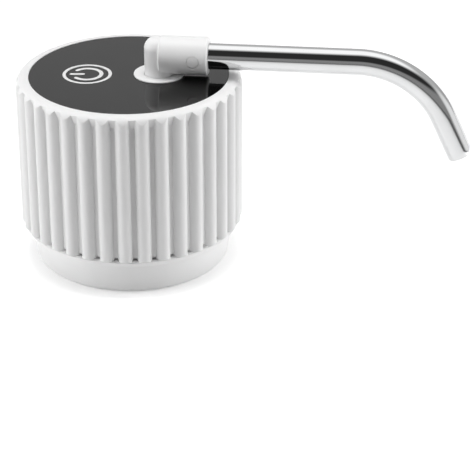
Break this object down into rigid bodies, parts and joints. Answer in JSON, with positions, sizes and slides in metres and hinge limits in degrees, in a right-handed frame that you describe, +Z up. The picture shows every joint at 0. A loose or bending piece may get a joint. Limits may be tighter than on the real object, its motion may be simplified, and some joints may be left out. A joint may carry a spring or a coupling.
{
  "type": "electric water jug pump",
  "caption": "Round ribbed battery pump that sits on a water jug's neck, with a push key on its dark top panel and a bent steel spout that swivels on an elbow.",
  "frame": {"origin": "centre of the neck hole, in the plane of the collar's foot", "axes": "+Z up along the housing's axis, +X towards the spout, -Y the side seen in front"},
  "size_m": [0.1613, 0.08, 0.0835],
  "materials": {
    "shell_white": "smooth glossy moulded plastic",
    "panel_black": "glossy dark panel",
    "sign_white": "white translucent inlay",
    "spout_steel": "mirror polished stainless steel",
    "grip_rubber": "soft matt silicone",
    "seal_rubber": "matt seal rubber",
    "hose_silicone": "milky silicone",
    "inner_plastic": "natural moulded plastic",
    "pump_plastic": "dark moulded plastic",
    "gear_plastic": "ivory gear plastic",
    "screw_steel": "bright zinc-plated steel",
    "bronze": "sintered bronze",
    "board": "solder-masked board",
    "led": "clear lens",
    "motor_iron": "dark laminated iron",
    "cell_wrap": "satin foil pouch",
    "lead_cover": "soft lead covering"
  },
  "bodies": {
    "housing": {"ribbed_sleeve": "shell_white", "base_collar": "shell_white", "outlet_bezel": "shell_white", "top_panel": "panel_black", "button_light_ring": "sign_white", "neck_grip_ring": "grip_rubber", "nozzle_o_ring": "seal_rubber", "head_gasket": "seal_rubber", "shaft_seal": "seal_rubber", "delivery_hose": "hose_silicone", "outlet_socket": "inner_plastic", "inlet_nozzle": "inner_plastic", "battery_cradle": "inner_plastic", "motor_end_cap": "inner_plastic", "pump_cover": "pump_plastic", "pump_head": "pump_plastic", "tact_switch": "pump_plastic", "socket_tongue": "pump_plastic", "case_screws": "screw_steel", "board_screws": "screw_steel", "socket_screws": "screw_steel", "pump_screws": "screw_steel", "charge_board_screws": "screw_steel", "hose_clips": "screw_steel", "idler_pin": "screw_steel", "motor_can": "screw_steel", "charge_socket": "screw_steel", "motor_bushes": "bronze", "motor_terminals": "bronze", "main_board": "board", "charge_board": "board", "status_leds": "led", "motor_magnets": "motor_iron", "battery_cell": "cell_wrap", "battery_leads": "lead_cover", "motor_leads": "lead_cover", "charge_leads": "lead_cover"},
    "spout": {"spout_elbow": "shell_white", "stem_o_rings": "seal_rubber", "spout_tube": "spout_steel", "tube_o_ring": "seal_rubber", "tube_lock_pin": "shell_white"},
    "power_key": {"power_button": "panel_black", "power_symbol": "sign_white", "switch_plunger": "pump_plastic"},
    "rotor": {"rotor_shaft": "screw_steel", "armature": "motor_iron", "drive_gear": "gear_plastic"},
    "idler": {"idler_gear": "gear_plastic"}
  },
  "joints": [
    {"name": "spout_swivel", "type": "hinge", "parent": "housing", "child": "spout", "pos_m": [0.0106, 0, 0.0692], "axis": [0, 0, 1], "continuous": true},
    {"name": "key_press", "type": "slide", "parent": "housing", "child": "power_key", "axis": [0, 0, -1], "range_m": [0, 0.0006], "stiffness_N_per_m": 2500, "springref_m": -0.0002},
    {"name": "rotor_spin", "type": "hinge", "parent": "housing", "child": "rotor", "pos_m": [-0.011, -0.0036, 0.04], "axis": [0, 0, 1], "continuous": true},
    {"name": "idler_spin", "type": "hinge", "parent": "housing", "child": "idler", "pos_m": [-0.011, 0.0036, 0.029], "axis": [0, 0, 1], "continuous": true}
  ],
  "couplings": [
    {"joint": "idler_spin", "follows": "rotor_spin", "ratio": -1}
  ]
}
